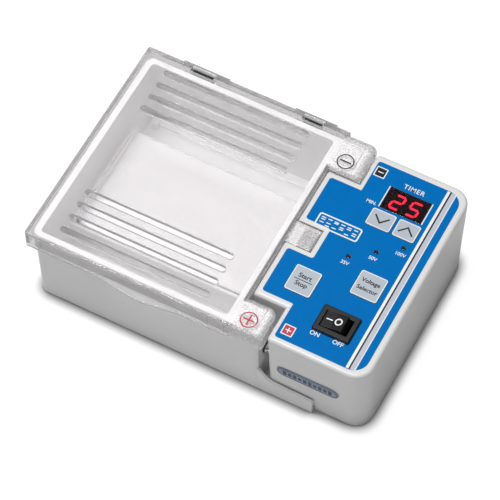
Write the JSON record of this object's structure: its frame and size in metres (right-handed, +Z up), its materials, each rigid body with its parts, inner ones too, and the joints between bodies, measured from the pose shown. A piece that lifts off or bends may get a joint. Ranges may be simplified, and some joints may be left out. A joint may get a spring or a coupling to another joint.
{
  "type": "gel electrophoresis tank",
  "caption": "White gel electrophoresis tank with a clear hinged vented lid, docked to a low power supply with a blue keypad, timer display and rocker switch.",
  "frame": {"origin": "centre of the object's footprint on the table", "axes": "+X along the length from the tank to the power supply, +Y towards the lid's hinge, +Z up"},
  "size_m": [0.1905, 0.1352, 0.0595],
  "materials": {
    "white_plastic": "satin moulded plastic",
    "rubber": "matt",
    "platinum": "bright drawn wire",
    "steel": "brushed",
    "plated_brass": "nickel plate on brass",
    "clear_acrylic": "clear, polished",
    "tray_acrylic": "clear, polished",
    "magnet": "plated, mottled",
    "blue_overlay": "fine matt printed film",
    "key_grey": "fine matt printed film",
    "display_lens": "clear window",
    "black_plastic": "satin moulded plastic",
    "light_lens": "diffused lens, unlit",
    "circuit_board": "solder mask",
    "core_steel": "varnished laminations",
    "copper": "enamelled wire",
    "capacitor_sleeve": "shrink sleeve",
    "aluminium": "anodised",
    "badge_grey": "domed label"
  },
  "bodies": {
    "tank": {"tank_shell": "white_plastic", "hinge_brackets": "black_plastic", "tank_feet": "rubber", "anode_wire": "platinum", "cathode_wire": "platinum", "wire_posts": "white_plastic", "contact_leads": "steel", "contact_pins": "plated_brass", "contact_seals": "rubber", "contact_nuts": "steel"},
    "tray": {"gel_tray": "tray_acrylic"},
    "lid": {"lid_cover": "clear_acrylic", "hinge_pins": "steel", "interlock_magnet": "magnet"},
    "power_supply": {"supply_upper_case": "white_plastic", "supply_lower_case": "white_plastic", "case_screws": "steel", "supply_feet": "rubber", "control_overlay": "blue_overlay", "display_window": "display_lens", "timer_display": "black_plastic", "voltage_lights": "light_lens", "control_board": "circuit_board", "tact_switches": "black_plastic", "board_spacers": "white_plastic", "switch_housing": "black_plastic", "power_board": "circuit_board", "power_board_spacers": "white_plastic", "switch_terminals": "plated_brass", "transformer_core": "core_steel", "transformer_winding": "copper", "capacitors": "capacitor_sleeve", "heat_sink": "aluminium", "power_transistor": "black_plastic", "dc_inlet": "black_plastic", "contact_sockets": "plated_brass", "lid_sensor": "black_plastic", "name_badge": "badge_grey"},
    "rocker": {"power_rocker": "black_plastic"},
    "time_down_button": {"time_down_key": "key_grey"},
    "time_up_button": {"time_up_key": "key_grey"},
    "start_stop_button": {"start_stop_key": "key_grey"},
    "voltage_selector_button": {"voltage_selector_key": "key_grey"}
  },
  "joints": [
    {"name": "lid_hinge", "type": "hinge", "parent": "tank", "child": "lid", "pos_m": [-0.02925, 0.06495, 0.0472], "axis": [-1, 0, 0], "range_deg": [0, 100]},
    {"name": "tray_lift", "type": "slide", "parent": "tank", "child": "tray", "axis": [0, 0, 1], "range_m": [0, 0.012]},
    {"name": "power_supply_dock", "type": "slide", "parent": "tank", "child": "power_supply", "axis": [1, 0, 0], "range_m": [0, 0.045]},
    {"name": "power_switch", "type": "hinge", "parent": "power_supply", "child": "rocker", "pos_m": [0.068, -0.03895, 0.0515], "axis": [0, 1, 0], "range_deg": [0, 24]},
    {"name": "time_down_press", "type": "slide", "parent": "power_supply", "child": "time_down_button", "axis": [0, 0, -1], "range_m": [0, 0.0005], "stiffness_N_per_m": 400},
    {"name": "time_up_press", "type": "slide", "parent": "power_supply", "child": "time_up_button", "axis": [0, 0, -1], "range_m": [0, 0.0005], "stiffness_N_per_m": 400},
    {"name": "start_stop_press", "type": "slide", "parent": "power_supply", "child": "start_stop_button", "axis": [0, 0, -1], "range_m": [0, 0.0005], "stiffness_N_per_m": 400},
    {"name": "voltage_selector_press", "type": "slide", "parent": "power_supply", "child": "voltage_selector_button", "axis": [0, 0, -1], "range_m": [0, 0.0005], "stiffness_N_per_m": 400}
  ]
}
